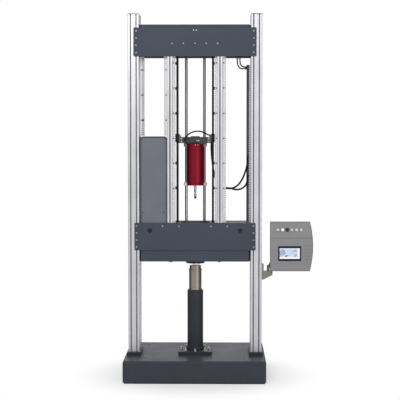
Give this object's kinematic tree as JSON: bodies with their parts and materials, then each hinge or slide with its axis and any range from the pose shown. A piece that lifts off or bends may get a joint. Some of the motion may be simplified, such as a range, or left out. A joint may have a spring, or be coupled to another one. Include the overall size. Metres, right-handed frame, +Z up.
{
  "type": "falling-weight impact tester",
  "caption": "Floor-standing drop tower: heavy base, slotted aluminium columns, two cross beams, belt-lifted guided red weight with striker over an anvil post, and a swivelling control panel.",
  "frame": {"origin": "on the floor, under the impact axis", "axes": "+X to the operator's right, +Y to the rear, +Z up along the impact axis"},
  "size_m": [1.337, 0.82, 2.585],
  "materials": {
    "base_paint": "dark grey gloss paint",
    "beam_paint": "blue-grey fine-texture paint",
    "foot_paint": "near-black paint",
    "post_paint": "charcoal satin paint",
    "anodised_profile": "natural anodised extrusion",
    "black_plastic": "moulded black plastic",
    "pale_plastic": "pale grey PVC",
    "black_steel": "black oxide steel",
    "rod_steel": "ground and hardened steel",
    "zinc_steel": "bright zinc-plated steel",
    "striker_steel": "ground steel",
    "tip_steel": "dark hardened tool steel",
    "nickel": "turned and nickel-plated steel",
    "cover_paint": "mid grey textured paint",
    "motor_paint": "dark grey paint",
    "rubber": "black rubber",
    "cable_jacket": "black cable jacket",
    "carriage_paint": "dark grey satin paint",
    "bracket_paint": "olive grey paint",
    "weight_red": "deep red gloss paint",
    "white_bushing": "white sliding plastic",
    "panel_paint": "mid grey fine-texture paint",
    "display_glass": "black glass front",
    "button_cap": "pale grey button cap",
    "button_lit": "lit pale yellow lens",
    "button_dark": "dark olive lens"
  },
  "bodies": {
    "frame": {"base_block": "base_paint", "foot_plates": "foot_paint", "column_left": "anodised_profile", "column_right": "anodised_profile", "column_caps": "black_plastic", "upper_beam": "beam_paint", "upper_front_plate": "beam_paint", "lower_beam": "beam_paint", "lower_front_plate": "beam_paint", "rear_plates": "beam_paint", "plate_screws": "zinc_steel", "blanking_plugs": "black_plastic", "inner_column_left": "anodised_profile", "inner_column_right": "anodised_profile", "guide_rails": "black_steel", "rail_brackets": "black_steel", "rail_wire_ducts": "pale_plastic", "guide_rods": "rod_steel", "drive_cover": "cover_paint", "lift_motor": "motor_paint", "lift_gearbox": "motor_paint", "column_ducts": "pale_plastic", "cable_conduit": "black_plastic", "post_flange": "foot_paint", "anvil_post": "post_paint", "flange_bolts": "zinc_steel", "anvil_tube": "nickel", "clamp_ring": "foot_paint", "stop_buffers": "rubber", "shaft_bearings": "zinc_steel", "lift_belts": "rubber", "panel_bracket": "panel_paint", "hose_glands": "black_plastic", "top_cable_front": "cable_jacket", "top_cable_rear": "cable_jacket", "bay_hose": "cable_jacket", "trailing_cable": "cable_jacket"},
    "carriage": {"carriage_beam": "carriage_paint", "carriage_end_left": "bracket_paint", "carriage_end_right": "bracket_paint", "carriage_sliders": "black_plastic", "holding_magnet": "carriage_paint", "carriage_hose": "cable_jacket"},
    "drop_weight": {"weight_cylinder": "weight_red", "weight_guide_plates": "weight_red", "weight_bushings": "white_bushing", "weight_armature": "zinc_steel", "striker": "striker_steel", "striker_tip": "tip_steel"},
    "drive_shaft": {"drive_shaft": "zinc_steel"},
    "idler_shaft": {"idler_shaft": "zinc_steel"},
    "panel": {"panel_front": "panel_paint", "panel_housing": "panel_paint", "display": "display_glass"},
    "button_1": {"button_1": "button_cap"},
    "button_2": {"button_2": "button_lit"},
    "button_3": {"button_3": "button_dark"},
    "button_4": {"button_4": "button_cap"},
    "button_5": {"button_5": "button_cap"},
    "button_6": {"button_6": "button_cap"}
  },
  "joints": [
    {"name": "carriage_lift", "type": "slide", "parent": "frame", "child": "carriage", "axis": [0, 0, 1], "range_m": [0, 0.5], "deforming": ["trailing_cable"]},
    {"name": "weight_drop", "type": "slide", "parent": "carriage", "child": "drop_weight", "axis": [0, 0, 1], "range_m": [-0.497, 0]},
    {"name": "drive_shaft_spin", "type": "hinge", "parent": "frame", "child": "drive_shaft", "pos_m": [0, 0.085, 1.03], "axis": [1, 0, 0], "continuous": true},
    {"name": "idler_shaft_spin", "type": "hinge", "parent": "frame", "child": "idler_shaft", "pos_m": [0, 0.085, 2.4], "axis": [1, 0, 0], "continuous": true},
    {"name": "panel_swivel", "type": "hinge", "parent": "frame", "child": "panel", "pos_m": [0.521, -0.1, 0.785], "axis": [0, 0, 1], "range_deg": [-45, 45]},
    {"name": "button_1_press", "type": "slide", "parent": "panel", "child": "button_1", "axis": [0, 1, 0], "range_m": [0, 0.002], "stiffness_N_per_m": 1500, "springref_m": -0.001},
    {"name": "button_2_press", "type": "slide", "parent": "panel", "child": "button_2", "axis": [0, 1, 0], "range_m": [0, 0.002], "stiffness_N_per_m": 1500, "springref_m": -0.001},
    {"name": "button_3_press", "type": "slide", "parent": "panel", "child": "button_3", "axis": [0, 1, 0], "range_m": [0, 0.002], "stiffness_N_per_m": 1500, "springref_m": -0.001},
    {"name": "button_4_press", "type": "slide", "parent": "panel", "child": "button_4", "axis": [0, 1, 0], "range_m": [0, 0.002], "stiffness_N_per_m": 1500, "springref_m": -0.001},
    {"name": "button_5_press", "type": "slide", "parent": "panel", "child": "button_5", "axis": [0, 1, 0], "range_m": [0, 0.002], "stiffness_N_per_m": 1500, "springref_m": -0.001},
    {"name": "button_6_press", "type": "slide", "parent": "panel", "child": "button_6", "axis": [0, 1, 0], "range_m": [0, 0.002], "stiffness_N_per_m": 1500, "springref_m": -0.001}
  ],
  "couplings": [
    {"joint": "drive_shaft_spin", "follows": "carriage_lift", "rad_per_m": -46.189},
    {"joint": "idler_shaft_spin", "follows": "carriage_lift", "rad_per_m": -46.189}
  ]
}
